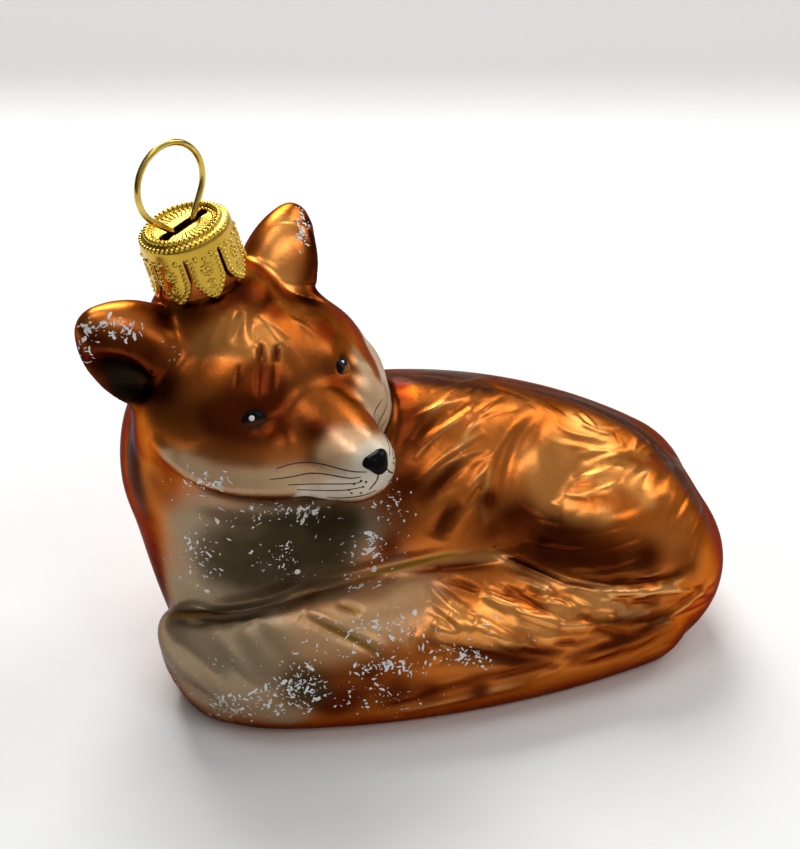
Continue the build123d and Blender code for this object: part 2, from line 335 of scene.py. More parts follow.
# Painted shade along grooves in the tail and flank, and thin dark lines on the forehead
UMBER_AND_SHADE_LINES = (
    (1.3, ((412, 642), (450, 647), (500, 656), (560, 663))),
    (1.1, ((560, 658), (620, 643), (675, 618))),
    (1.5, ((418, 505), (446, 477), (464, 454)), ((434, 540), (444, 520), (460, 500))),
    (0.8, ((580, 580), (620, 583), (660, 579), (696, 566)), ((405, 574), (450, 568), (495, 566))),
    (1.2, ((505, 646), (535, 652), (566, 653))),
    (0.9, ((590, 622), (630, 622), (675, 612))),
    (0.4, ((260, 342), (260, 352), (259, 362)), ((277, 344), (277, 352), (276, 361))),
    (0.3, ((259, 360), (258, 378), (257, 399)), ((239, 364), (238, 376), (236, 389))),
)
# Matt brown along the back's rim and down the neck's edge, partly painted shade, and umber on the far ear's
# edge
BARK_AND_SHADE = (
    (2.4, (394, 376), (408, 377)),
    (2.3, (424, 379)),
    (2.2, (440, 381)),
    (2.1, (456, 383)),
    (2, (472, 386)),
    (1.8, (488, 389)),
)
BARK_AND_SHADE_LINES = (
    (2.3, ((134, 404), (132, 430), (132, 455), (134, 480), (142, 506), (150, 528))),
    (4.2, ((392, 373), (450, 373), (500, 382))),
    (2.6, ((470, 376), (520, 386), (590, 405), (640, 429), (682, 475), (711, 528), (718, 565))),
)
EAR_EDGE = (
    (1.2, (308, 222)),
    (1.5, (312, 236)),
    (1.7, (314, 250)),
    (1.9, (315, 263), (314, 277), (312, 290)),
)
SOOT = (
    (2.6, (112, 364), (146, 386), (126, 384)),
    (3, (124, 372), (136, 378)),
    (1.7, (255, 420)),
)
OCHRE = (
    (0.5, ((340, 586), (372, 575), (405, 565), (440, 556), (470, 551)),
        ((166, 612), (180, 616), (215, 614))),
    (0.55, ((300, 614), (322, 624), (348, 637), (370, 648), (388, 662))),
    (0.4, ((335, 604), (350, 609), (365, 614))),
)
# The jaw in the head's frame, in millimetres: its level at the eyes, its slope, and the blur of its edge
JAW_LEVEL = -7.5
JAW_SLOPE = -0.36
JAW_BLUR = 1.2

# The parts of a noise's range over which a material changes
NOISE_MIDDLE = (0.3, 0.7)
NOISE_WIDE = (0.2, 0.8)

# Lacquer: copper in two tones, its painted highlight on crests and painted shade in furrows, then each
# paint's colour and how matt it is
COPPER = ((0.54, 0.135, 0.018), (0.63, 0.185, 0.034))
CREST_HIGHLIGHT_COPPER = (0.80, 0.36, 0.115)
FURROW_SHADE_COPPER = (0.27, 0.052, 0.006)
CREST_RANGE = (0.04, 0.3)
PAINTS = (
    # Painted highlight
    ("painted_highlight", (0.82, 0.32, 0.075), None),
    ("blush", (0.56, 0.33, 0.16), 0.5),
    ("taupe", (0.37, 0.272, 0.168), 0.45),
    # Brown, partly painted shade
    ("umber_and_shade", (0.10, 0.016, 0.003), None),
    # Matt brown, partly painted shade
    ("bark_and_shade", (0.09, 0.023, 0.005), 0.42),
    # Pale peach, partly painted highlight
    ("peach_and_highlight", (0.95, 0.58, 0.32), 0.3),
    # Dark olive, partly painted shade
    ("moss_and_shade", (0.043, 0.030, 0.012), 0.45),
    ("cream", (0.55, 0.37, 0.21), 0.75),
    # White, with a painted highlight near the nose
    ("chalk_and_highlight", (0.74, 0.64, 0.50), 0.9),
    ("soot", (0.012, 0.008, 0.005), None),
    ("ochre", (0.30, 0.15, 0.022), None),
)
PAINT_WEAR = (0.8, 1.15)
LACQUER_METAL = (0.95, 0.05)
LACQUER_ROUGH = (0.27, 0.34)
LACQUER_EDGE = (0.10, 0.08, 0.07, 1)
LACQUER_GRAINS = (170, 420, 900)
LACQUER_BUMP = (0.08, 0.0004)

# Other materials: dark and light tone, roughness, and the grain and wear of their noise
ENAMEL = ((0.006, 0.005, 0.005), (0.30, 0.085, 0.018))
ENAMEL_ROUGH = (0.12, 0.2)
ENAMEL_SPECULAR = 0.05
ENAMEL_GRAIN = 600
AMBER_GRAIN = 1500
AMBER_WEAR = (0.7, 1.2)
WHITE_PAINT = ((0.80, 0.80, 0.78), (0.88, 0.88, 0.86))
LINER_PAINT = ((0.012, 0.010, 0.008), (0.03, 0.022, 0.016))
PAINT_ROUGH = (0.34, 0.46)
PAINT_GRAIN = 1200
PAINT_BUMP = (0.15, 0.0001)
CAP_GOLD = ((0.34, 0.18, 0.012), (0.92, 0.61, 0.09))
CAP_ROUGH = (0.192, 0.3)
WIRE_GOLD = ((0.55, 0.36, 0.06), (0.82, 0.60, 0.16))
WIRE_ROUGH = (0.16, 0.25)
GOLD_GRAIN = 350
GOLD_WEAR = (0.85, 1.0)
# Painted shade on the cap's low stamping: the mask's range and the share of brightness it leaves
STAMP_RANGE = (0.0, 0.75)
STAMP_TONES = (0.12, 1.0)
PAPER_WHITE = ((0.90, 0.90, 0.895), (0.92, 0.92, 0.915))
PAPER_GREY = (0.80, 0.795, 0.78)
PAPER_GRAIN = 60
PAPER_ROUGH = 0.8
PAPER_SPECULAR = 0.1

# White flecks: middle and half size of a cluster on the picture, how many, and their mean size
FLECKS = (
    (200, 557, 24, 30, 75, 0.34), (280, 560, 28, 18, 55, 0.24), (276, 514, 46, 12, 60, 0.3),
    (300, 512, 20, 8, 28, 0.45), (366, 548, 38, 32, 55, 0.36), (372, 545, 7, 16, 20, 0.6),
    (390, 508, 16, 22, 24, 0.26), (370, 585, 34, 7, 7, 0.5), (395, 640, 90, 24, 120, 0.3),
    (386, 667, 38, 10, 70, 0.42), (468, 655, 30, 12, 60, 0.34), (378, 625, 28, 12, 30, 0.4),
    (300, 684, 28, 24, 120, 0.32), (226, 706, 26, 13, 85, 0.36), (275, 701, 26, 12, 70, 0.34),
    (173, 672, 10, 18, 30, 0.26), (372, 696, 52, 16, 80, 0.22), (114, 329, 33, 10, 60, 0.36),
    (86, 352, 9, 22, 26, 0.3), (168, 350, 14, 9, 9, 0.2), (301, 225, 5, 20, 60, 0.4),
    (208, 482, 26, 11, 64, 0.32), (390, 486, 14, 24, 16, 0.24), (240, 660, 40, 30, 30, 0.2),
)
FLECK_SPREAD = 0.55
FLECK_SIZES = (-0.35, 0.5)
FLECK_RISE = 0.06 * MM
FLECK_ROOT = 0.06 * MM
FLECK_SLIM = (0.16, 0.6)
FLECK_CORNERS = (7, 11)
FLECK_RAGGED = (0.3, 1.3)

# Painted lines on the muzzle: radius in millimetres, then picture points
LINES = (
    (0.1, ((276, 469), (290, 464), (307, 462), (323, 464), (340, 469), (354, 472), (367, 472))),
    (0.1, ((270, 479.5), (284, 478), (298, 475.5), (309, 473), (326, 474), (340, 477), (353, 478.6),
           (361, 477))),
    (0.09, ((288, 485), (307, 484), (326, 484), (353, 484), (361, 482))),
    (0.09, ((297, 489.5), (319, 490.5), (346, 490.5), (363, 487))),
    (0.12, ((326, 497), (340, 498), (356, 497), (368, 494), (377, 490))),
    (0.13, ((379, 473), (377, 481), (369, 490))),
)
DOTS = ((354, 484), (361, 481), (366, 482), (363, 487), (349, 490), (351.5, 493), (361, 493))
DOT_RADIUS = 0.2 * MM
DOT_SQUASH = 0.4
LINE_ENDS = 0.35
LINE_SQUASH = 0.6

# Eyes: picture point, where the glint sits in the eye, its radius in millimetres, and how amber the eye is
EYES = (
    ("right_eye", (254, 419), (-0.2, 0.12), 0.4, 0.25),
    ("left_eye", (343, 366), (0.15, 0.35), 0.24, 1.0),
)
EYE_HALF = (1.55, 1.2)
EYE_RISE = 0.42
EYE_CORNERS = 0.1
AMBER_EDGE = 0.1
AMBER_BLUR = 0.35
GLINT_LIFT = 0.9
GLINT_SQUASH = 0.45
NOSE_PIXEL = (377, 460)
NOSE_HALF = (2.2, 1.75)
NOSE_RISE = 0.75
NOSE_CORNERS = 0.16
DOME_ROOT = 0.03 * MM

# Paper under the fox: its reach to the front and sides, and where it bends up
SWEEP_FRONT = 0.30
SWEEP_HALF = 0.9
SWEEP_START = 0.175
SWEEP_BEND = 0.06
SWEEP_SLOPE = 38.0
SWEEP_RISE = 0.14
PAPER_GREY_HEIGHT = 0.014

# Lamps: heading from +X and elevation in degrees, size in metres, and how bright they look
LAMP_DISTANCE = 1.0
LAMPS = (
    ("key_softbox", 84.0, 45.0, 0.56, 9.2),
    ("window_softbox", 14.0, 38.0, 0.46, 3.2),
    ("top_softbox", 170.0, 83.0, 0.36, 3.0),
    ("front_softbox", -65.0, 55.0, 0.30, 3.0),
)
ROOM_BRIGHT_SIDE = (0.45, -0.6, 0.66)
ROOM_RAMP = ((0.0, (0.15, 0.147, 0.143, 1)), (0.75, (1.0, 1.0, 1.0, 1)))
ROOM_STRENGTH = 0.34

# Cap: the sizes of its stamping, in millimetres
CAP_VOXEL = 0.12 * MM
CAP_SOFTEN_STEPS = 3
CAP_FACING = 0.3
SKIRT_RADIUS = 6.0
DISC_LOW = -1.0
# Painted shade: the mask's value on the low stamping and on the cap's inside
STAMP_FLOOR = 0.35
STAMP_INSIDE = 0.1
CAP_RADIUS = 6.5
CAP_FLARE = 0.25
CAP_HEIGHT = 8.8
PETALS = 8
PETAL_HALF = 2.25
BORDER_INSET = 0.42
BEAD = 0.27
BEAD_STEP = 0.56
BEAD_RISE = 0.27
BORDER_TOP = 2.7
BORDER_SHOULDER = 5.7
BORDER_TIP = 1.6 * BORDER_INSET
BORDER_TAPER = (0.72, 7.0)
FLOWER_DEPTH = 4.1
FLOWER_RADIUS = 0.68
FLOWER_BEADS = (0.26, 0.24)
RING_DEPTH = 6.3
RING_RADIUS = 0.52
RING_BEADS = (0.2, 0.17)
TOP_BEADS = ((-1.15, 2.2, 0.33), (1.15, 2.2, 0.33), (0.0, 2.55, 0.28), (-2.3, 2.2, 0.3))
# Rings of beads on the disc: how many, ring radius, height over the disc, bead radius
DISC_RINGS = ((46, 5.15, 0.3, 0.36), (40, 4.35, 0.02, 0.28), (54, 6.1, -0.35, 0.26))
RIBS = 36
RIB_REACH = (2.4, 4.1)
RIB_RISE = 0.35


def unit(v):
    return v / np.linalg.norm(v, axis=-1, keepdims=True)


def camera_axes():
    """Right, up and back of the camera."""
    a, e = math.radians(AZIMUTH), math.radians(ELEVATION)
    right = np.array([math.cos(a), math.sin(a), 0.0])
    back = np.array([math.sin(a) * math.cos(e), -math.cos(a) * math.cos(e), math.sin(e)])
    return right, np.cross(back, right), back


def camera_ray(x, y):
    """Eye and direction of the ray through a picture point."""
    right, up, back = camera_axes()
    along = right * (x - PICTURE[0] / 2) / FOCAL - up * (y - PICTURE[1] / 2) / FOCAL - back
    return TARGET + back * DISTANCE, unit(along)


def head_axes():
    """Forward, left and up of the head, as columns."""
    yaw, roll = math.radians(HEAD_YAW), math.radians(HEAD_ROLL)
    return np.array(Matrix.Rotation(yaw, 3, "Z") @ Matrix.Rotation(roll, 3, "X"))


def mirrored_in_head(points):
    """Points on the other side of the face."""
    axes = head_axes()
    local = (points - HEAD_PLACE) @ axes
    return HEAD_PLACE + (local * [1, -1, 1]) @ axes.T


def both_sides(points):
    """Points on the face, and their like on its other side."""
    return points, mirrored_in_head(points)


def cap_axes(joints):
    """Origin at the cap's top and its axes: along the slot, across it, out of the neck."""
    slide = next(j for j in joints if j["type"] == "slide")
    hinge = next(j for j in joints if j["type"] == "hinge")
    out, along = unit(np.array(slide["axis"])), unit(np.array(hinge["axis"]))
    return np.array(hinge["pos_m"]), np.stack([along, np.cross(out, along), out], 1)


def new_object(name, data):
    thing = bpy.data.objects.new(name, data)
    bpy.context.scene.collection.objects.link(thing)
    return thing


def mesh_from(bm, name):
    """The finished mesh of a bmesh, which is freed."""
    mesh = bpy.data.meshes.new(name)
    bm.to_mesh(mesh)
    bm.free()
    return mesh


def rows_of(items, name, width, kind=np.float32):
    """One row of numbers for each vertex or edge."""
    values = np.zeros(len(items) * width, kind)
    items.foreach_get(name, values)
    return values.reshape(-1, width)


def points_of(mesh):
    return rows_of(mesh.vertices, "co", 3).astype(float)


def normals_of(mesh):
    return rows_of(mesh.vertex_normals, "vector", 3).astype(float)


def edges_of(mesh):
    return rows_of(mesh.edges, "vertices", 2, np.int32)


def set_points(mesh, co):
    mesh.vertices.foreach_set("co", co.astype(np.float32).ravel())
    mesh.update()


def give(mesh, name, values):
    """Stores one number per vertex for the material to read."""
    attribute = mesh.attributes.new(name, "FLOAT", "POINT")
    attribute.data.foreach_set("value", np.asarray(values, np.float32))


def neighbour_mean(co, edges):
    """Mean of each vertex's neighbours."""
    count = np.bincount(edges.ravel(), minlength=len(co))
    total = np.zeros_like(co)
    for axis in range(3):
        total[:, axis] = np.bincount(edges[:, 0], co[edges[:, 1], axis], len(co))
        total[:, axis] += np.bincount(edges[:, 1], co[edges[:, 0], axis], len(co))
    return total / np.maximum(count, 1)[:, None]


def remeshed(mesh, voxel):
    """The same closed form in even small quads."""
    thing = new_object("remesh_form", mesh)
    modifier = thing.modifiers.new("even", "REMESH")
    modifier.mode = "VOXEL"
    modifier.voxel_size = voxel
    view = thing.evaluated_get(bpy.context.evaluated_depsgraph_get())
    even = bpy.data.meshes.new_from_object(view)
    bpy.data.objects.remove(thing)
    even.materials.clear()
    return even


def welded(node):
    """A solid's mesh with its split vertices joined."""
    bm = bmesh.new()
    bm.from_mesh(node.data)
    bmesh.ops.remove_doubles(bm, verts=bm.verts, dist=WELD)
    return bm


def outer_skin(node, origin, axes):
    """Closed mesh of the glass's outside with a blind bore in its neck, from the hollow solid."""
    bm = welded(node)
    top = max((np.array(v.co) - origin) @ axes[:, 2] for v in bm.verts)

    def on_rim(face):
        height = (np.array(face.calc_center_median()) - origin) @ axes[:, 2]
        return height > top - RIM_BAND and abs(np.array(face.normal) @ axes[:, 2]) > 0.9

    seed = max(bm.faces, key=lambda f: f.calc_center_median().x)
    reached, queue = {seed}, [seed]
    while queue:
        for edge in queue.pop().edges:
            for face in edge.link_faces:
                if face not in reached and not on_rim(face):
                    reached.add(face)
                    queue.append(face)
    bmesh.ops.delete(bm, geom=[f for f in bm.faces if f not in reached], context="FACES")
    for depth in (0.0, BORE_DEPTH):
        rim = [e for e in bm.edges if e.is_boundary]
        made = bmesh.ops.extrude_edge_only(bm, edges=rim)["geom"]
        for v in (g for g in made if isinstance(g, bmesh.types.BMVert)):
            local = (np.array(v.co) - origin) @ axes
            local[:2] *= BORE_RADIUS / math.hypot(local[0], local[1])
            local[2] -= depth
            v.co = origin + axes @ local
    bmesh.ops.holes_fill(bm, edges=[e for e in bm.edges if e.is_boundary], sides=0)
    bmesh.ops.triangulate(bm, faces=bm.faces)
    bmesh.ops.recalc_face_normals(bm, faces=bm.faces)
    return mesh_from(bm, "fox_skin")


def soften(mesh, hold):
    """Evens out the mesh, and rounds the valleys where two forms meet: on the head more than elsewhere."""
    co, edges = points_of(mesh), edges_of(mesh)
    free = 0.5 * (1 - hold)[:, None]
    on_head = np.linalg.norm(co - HEAD_PLACE, axis=1) < HEAD_REACH
    for step in range(SOFTEN_STEPS + CREASE_STEPS + HEAD_CREASE_STEPS):
        pull = neighbour_mean(co, edges) - co
        if step >= SOFTEN_STEPS:
            if step % NORMALS_EVERY == 0:
                set_points(mesh, co)
                normals = normals_of(mesh)
            outward = np.sum(pull * normals, 1)
            pull *= np.clip(outward / CREASE_PULL, 0, 1)[:, None]
        if step >= SOFTEN_STEPS + CREASE_STEPS:
            pull[~on_head] = 0
        co = co + free * pull
    set_points(mesh, co)


class Skin:
    """The glass's surface, to cast picture points on and to find its nearest points."""

    def __init__(self, mesh):
        corners = [tuple(p.vertices) for p in mesh.polygons]
        self.tree = BVHTree.FromPolygons([tuple(c) for c in points_of(mesh)], corners)

    def cast(self, x, y):
        """Point and normal under a picture point, or None beside the glass."""
        eye, along = camera_ray(x, y)
        place, normal, _, _ = self.tree.ray_cast(Vector(eye), Vector(along))
        return None if place is None else (np.array(place), np.array(normal))

    def nearest(self, point):
        place, normal, _, _ = self.tree.find_nearest(Vector(point))
        return np.array(place), np.array(normal)

    def line(self, pixels):
        """Points on the glass along a smooth curve through picture points."""
        found = [self.cast(x, y) for x, y in rounded(pixels)]
        return np.array([hit[0] for hit in found if hit is not None])


def rounded(pixels, passes=3):
    """A polyline with its corners cut, so that it runs smoothly."""
    line = np.array(pixels, float)
    for _ in range(passes):
        a, b = line[:-1], line[1:]
        cut = np.stack([0.75 * a + 0.25 * b, 0.25 * a + 0.75 * b], 1).reshape(-1, 2)
        line = np.vstack([line[:1], cut, line[-1:]])
    return line


def along_line(co, line):
    """Distance of points from a polyline, and the share of its length at the nearest place."""
    run = line[1:] - line[:-1]
    lengths = np.linalg.norm(run, axis=1)
    starts = np.concatenate([[0], np.cumsum(lengths)])
    nearest = np.full(len(co), np.inf)
    share = np.zeros(len(co))
    for a, r, length, start in zip(line[:-1], run, lengths, starts):
        if length == 0:
            continue
        t = np.clip((co - a) @ r / length**2, 0, 1)
        far = np.linalg.norm(co - a - t[:, None] * r, axis=1)
        closer = far < nearest
        nearest[closer] = far[closer]
        share[closer] = (start + t[closer] * length) / starts[-1]
    return nearest, share


def close_to(co, line, reach):
    """Which points lie in the box round a line, widened by a reach."""
    return np.all((co > line.min(0) - reach) & (co < line.max(0) + reach), 1)


def stroke_profile(co, line, width):
    """Which points a stroke reaches, and its height there, from 0 to 1, fading at both ends."""
    near = close_to(co, line, STROKE_REACH * width * MM)
    far, share = along_line(co[near], line)
    fade = np.sqrt(np.clip(np.sin(math.pi * share), 0, 1))
    return near, fade * np.exp(-((far / (width * MM)) ** 2))


def add_stroke(shift, co, line, height, width):
    """Adds one ridge or furrow to the shift of every vertex."""
    if len(line) > 1:
        near, profile = stroke_profile(co, line, width)
        shift[near] += height * MM * profile


def fur_rows(skin):
    """Fine strokes in rows over the tail, the flank and the haunch."""
    strokes = []
    for first, last, slant, end_slant, length, count, height in FUR_ROWS:
        for k in range(count):
            t = (k + random.uniform(-ROW_JITTER, ROW_JITTER)) / (count - 1)
            start = np.array(first) * (1 - t) + np.array(last) * t
            start = start + [random.gauss(0, ROW_WANDER), random.gauss(0, ROW_WANDER)]
            angle = math.radians(slant * (1 - t) + end_slant * t + random.gauss(0, ROW_TURN))
            bend = random.gauss(0, ROW_BEND)
            reach = length * random.uniform(*ROW_LENGTHS)
            pixels = [start + reach * s * np.array([math.cos(angle + bend * s), math.sin(angle + bend * s)])
                      for s in (0, 0.33, 0.67, 1)]
            raised = random.choice((-1, 1)) * height * random.uniform(*ROW_HEIGHTS)
            strokes.append((raised, random.uniform(*ROW_WIDTH), skin.line(pixels)))
    return strokes


def far_side_fur(skin):
    """Strokes over the back and the rump, which run from the head towards the tail's root."""
    strokes = []
    for count, side in ((BACK_FUR, "back"), (RUMP_FUR, "rump")):
        for _ in range(count):
            if side == "back":
                start = np.array([random.uniform(*BACK_X), BACK_Y, random.uniform(*BACK_Z)]) * MM
                heading = np.array([1.0, 0.0, random.uniform(*BACK_DIP)])
            else:
                start = np.array([RUMP_X, random.uniform(*RUMP_Y), random.uniform(*RUMP_Z)]) * MM
                heading = np.array([0.0, RUMP_LEAN, random.uniform(*RUMP_DIP)])
            length = random.uniform(*FUR_LENGTH) * MM
            bend = random.uniform(*FUR_BEND)
            steps = []
            for k in range(FUR_STEPS + 1):
                t = k / FUR_STEPS
                goal = start + heading * length * t + np.array([0, 0, bend * length * t * t])
                steps.append(skin.nearest(goal)[0])
            strokes.append((random.choice((-1, 1)) * FUR_HEIGHT, FUR_WIDTH, np.array(steps)))
    return strokes


def soft_spot(co, centre, radius):
    """A round bump of height 1 that fades with the distance from its centre."""
    return np.exp(-np.sum((co - centre) ** 2, 1) / (radius * MM) ** 2)


def carve(mesh, skin, hold):
    """Raises and sinks the moulded fur, the brow and the creases."""
    co, normals = points_of(mesh), normals_of(mesh)
    fine, broad = np.zeros(len(co)), np.zeros(len(co))
    drawn = HAUNCH_STROKES + FLANK_STROKES + TAIL_STROKES + HEAD_STROKES
    strokes = [(height, width, skin.line(pixels)) for height, width, *lines in drawn for pixels in lines]
    for height, width, line in strokes + fur_rows(skin) + far_side_fur(skin):
        add_stroke(fine if width < FINE_WIDTH else broad, co, line, height, width)
    for height, width, pixels in JAW_STROKES:
        line = skin.line(pixels)
        other = [skin.nearest(point)[0] for point in mirrored_in_head(line)]
        add_stroke(broad, co, line, height, width)
        add_stroke(broad, co, np.array(other), height, width)
    for x, y, height, radius in HEAD_PRESSES:
        for spot in both_sides(skin.cast(x, y)[0]):
            broad += height * MM * soft_spot(co, spot, radius)
    for x, y, height, radius in SIDE_PRESSES:
        broad += height * MM * soft_spot(co, skin.cast(x, y)[0], radius)
    set_points(mesh, co + normals * ((fine + broad) * (1 - hold))[:, None])
    # The fine relief's height, which the lacquer turns into painted highlight on crests and painted shade
    # in furrows
    give(mesh, "crest", fine / MM)


def dabbed(co, skin, dabs, mirror=False, strength=1.0):
    """How strongly each point is covered by soft dabs, from 0 to 1."""
    bare = np.ones(len(co))
    for radius, *spots in dabs:
        for hit in filter(None, (skin.cast(*spot) for spot in spots)):
            for centre in both_sides(hit[0]) if mirror else (hit[0],):
                bare *= 1 - strength * soft_spot(co, centre, radius)
    return 1 - bare


def brushed(co, skin, strokes):
    """How strongly each point is covered by brush strokes along picture points."""
    cover = np.zeros(len(co))
    for width, *lines in strokes:
        for line in map(skin.line, lines):
            near, profile = stroke_profile(co, line, width)
            cover[near] = np.maximum(cover[near], profile)
    return cover


def airbrush(mesh, skin):
    """Gives the glass the strength of every paint, painted highlight and painted shade among them."""
    co = points_of(mesh)
    head = (co - HEAD_PLACE) @ head_axes() / MM
    above = np.clip(0.5 + (head[:, 2] - JAW_LEVEL - JAW_SLOPE * head[:, 0]) / JAW_BLUR, 0, 1)
    cream = (1 - dabbed(co, skin, CREAM, mirror=True)) * (1 - dabbed(co, skin, FAR_CREAM))
    give(mesh, "cream", (1 - cream) * above)
    # White on the chin and muzzle, with a painted highlight near the nose
    give(mesh, "chalk_and_highlight", dabbed(co, skin, CHALK_AND_HIGHLIGHT, mirror=True) * above)
    give(mesh, "taupe", dabbed(co, skin, TAUPE, strength=TAUPE_STRENGTH) * (1 - above))
    # Dark olive with painted shade on the chest and in the valley below it
    moss_and_shade = 1 - (1 - dabbed(co, skin, MOSS_AND_SHADE, strength=MOSS_AND_SHADE_STRENGTH)) * (1 - brushed(co, skin, CREASE_SHADE_LINES))
    give(mesh, "moss_and_shade", moss_and_shade * (1 - above))
    # Painted highlights
    give(mesh, "painted_highlight", np.maximum(dabbed(co, skin, PAINTED_HIGHLIGHT), brushed(co, skin, PAINTED_HIGHLIGHT_LINES)))
    # Pale peach on the muzzle, partly painted highlight
    give(mesh, "peach_and_highlight", dabbed(co, skin, PEACH_AND_HIGHLIGHT))
    give(mesh, "blush", dabbed(co, skin, BLUSH, strength=BLUSH_STRENGTH))
    give(mesh, "ochre", brushed(co, skin, OCHRE))
    # Umber with painted shade along grooves, beside the face, under the cap and in wide soft passes
    lines = np.maximum(brushed(co, skin, UMBER_AND_SHADE_LINES), dabbed(co, skin, EAR_EDGE))
    thin = 1 - SHADE_STRENGTH * dabbed(co, skin, SHADE)
    give(mesh, "umber_and_shade", 1 - (1 - dabbed(co, skin, UMBER_AND_SHADE)) * (1 - lines) * thin)
    # Matt brown on the back's rim, partly painted shade
    give(mesh, "bark_and_shade", np.maximum(dabbed(co, skin, BARK_AND_SHADE), brushed(co, skin, BARK_AND_SHADE_LINES)))
    give(mesh, "soot", dabbed(co, skin, SOOT, mirror=True))


class Nodes:
    """Short hand for a material's node tree."""

    def __init__(self, name):
        self.material = bpy.data.materials.new(name)
        self.material.use_nodes = True
        self.tree = self.material.node_tree
        self.shader = self.tree.nodes["Principled BSDF"]

    def set(self, **values):
        for key, value in values.items():
            self.shader.inputs[key.replace("_", " ")].default_value = value

    def link(self, out, into):
        self.tree.links.new(out, into)

    def mask(self, name):
        node = self.tree.nodes.new("ShaderNodeAttribute")
        node.attribute_name = name
        return node.outputs["Fac"]

    def noise(self, scale, detail=4.0, stretch=(1, 1, 1)):
        place = self.tree.nodes.new("ShaderNodeTexCoord").outputs["Object"]
        mapping = self.tree.nodes.new("ShaderNodeMapping")
        mapping.inputs["Scale"].default_value = stretch
        node = self.tree.nodes.new("ShaderNodeTexNoise")
        node.inputs["Scale"].default_value = scale
        node.inputs["Detail"].default_value = detail
        self.link(place, mapping.inputs["Vector"])
        self.link(mapping.outputs["Vector"], node.inputs["Vector"])
        return node.outputs["Fac"]

    def ramp(self, value, low, high, to_low=0.0, to_high=1.0):
        node = self.tree.nodes.new("ShaderNodeMapRange")
        node.interpolation_type = "SMOOTHSTEP"
        limits = {"From Min": low, "From Max": high, "To Min": to_low, "To Max": to_high}
        for key, number in limits.items():
            node.inputs[key].default_value = number
        self.link(value, node.inputs["Value"])
        return node.outputs["Result"]

    def maths(self, operation, a, b):
        node = self.tree.nodes.new("ShaderNodeMath")
        node.operation = operation
        self.link(a, node.inputs[0])
        self.link(b, node.inputs[1])
        return node.outputs["Value"]

    def mix(self, share, a, b):
        node = self.tree.nodes.new("ShaderNodeMix")
        node.data_type = "RGBA"
        self.link(share, node.inputs["Factor"])
        for socket, value in ((node.inputs[6], a), (node.inputs[7], b)):
            if isinstance(value, tuple):
                socket.default_value = (*value, 1)
            else:
                self.link(value, socket)
        return node.outputs[2]

    def bump(self, height, strength, distance):
        node = self.tree.nodes.new("ShaderNodeBump")
        node.inputs["Strength"].default_value = strength
        node.inputs["Distance"].default_value = distance
        self.link(height, node.inputs["Height"])
        self.link(node.outputs["Normal"], self.shader.inputs["Normal"])


def lacquer():
    """Satin copper over silver, yellower as painted highlight on crests and redder as painted shade in
    furrows, then airbrushed.
    """
    n = Nodes("lacquered_glass")
    patches, satin, peel = LACQUER_GRAINS
    patch = n.noise(patches, 5, (0.6, 1, 1))
    low, high = CREST_RANGE
    colour = n.mix(n.ramp(patch, 0.35, 0.7), *COPPER)
    # Painted highlight on crests and painted shade in furrows
    colour = n.mix(n.ramp(n.mask("crest"), low, high), colour, CREST_HIGHLIGHT_COPPER)
    colour = n.mix(n.ramp(n.mask("crest"), -low, -high), colour, FURROW_SHADE_COPPER)
    matt = None
    for name, tone, sheen in PAINTS:
        worn = n.maths("MULTIPLY", n.mask(name), n.ramp(patch, *NOISE_WIDE, *PAINT_WEAR))
        share = n.ramp(worn, 0.02, 1.0)
        colour = n.mix(share, colour, tone)
        if sheen:
            cover = n.ramp(share, 0, 1, 0, sheen)
            matt = cover if matt is None else n.maths("MAXIMUM", matt, cover)
    n.link(colour, n.shader.inputs["Base Color"])
    n.link(n.ramp(matt, 0, 1, *LACQUER_METAL), n.shader.inputs["Metallic"])
    n.link(n.ramp(n.noise(satin, 3), *NOISE_MIDDLE, *LACQUER_ROUGH), n.shader.inputs["Roughness"])
    n.set(Specular_Tint=LACQUER_EDGE)
    n.bump(n.noise(peel, 4), *LACQUER_BUMP)
    return n.material


def enamel():
    """Glossy black, warmed to amber where the piece says so."""
    n = Nodes("black_enamel")
    wear = n.ramp(n.noise(AMBER_GRAIN, 3), *NOISE_WIDE, *AMBER_WEAR)
    amber = n.maths("MULTIPLY", n.mask("amber"), wear)
    n.link(n.mix(amber, *ENAMEL), n.shader.inputs["Base Color"])
    rough = n.ramp(n.noise(ENAMEL_GRAIN, 2), *NOISE_MIDDLE, *ENAMEL_ROUGH)
    n.link(rough, n.shader.inputs["Roughness"])
    n.set(Specular_IOR_Level=ENAMEL_SPECULAR)
    return n.material


def brushed_paint(name, tones):
    """Plain brushed paint with a little unevenness."""
    n = Nodes(name)
    patch = n.noise(PAINT_GRAIN, 4)
    n.link(n.mix(n.ramp(patch, *NOISE_MIDDLE), *tones), n.shader.inputs["Base Color"])
    n.link(n.ramp(patch, *NOISE_MIDDLE, *PAINT_ROUGH), n.shader.inputs["Roughness"])
    n.bump(n.noise(PAINT_GRAIN * 2, 3), *PAINT_BUMP)
    return n.material


def gold(name, tones, rough, mask=None):
    """Lacquered brass, with painted shade where a mask says that the stamping lies low."""
    n = Nodes(name)
    patch = n.noise(GOLD_GRAIN, 4)
    bright = n.ramp(patch, *NOISE_MIDDLE)
    if mask:
        raised = n.ramp(n.mask(mask), *STAMP_RANGE, *STAMP_TONES)
        bright = n.maths("MULTIPLY", raised, n.ramp(patch, *NOISE_WIDE, *GOLD_WEAR))
    n.link(n.mix(bright, *tones), n.shader.inputs["Base Color"])
    n.link(n.ramp(patch, *NOISE_MIDDLE, *rough), n.shader.inputs["Roughness"])
    n.set(Metallic=1.0)
    return n.material


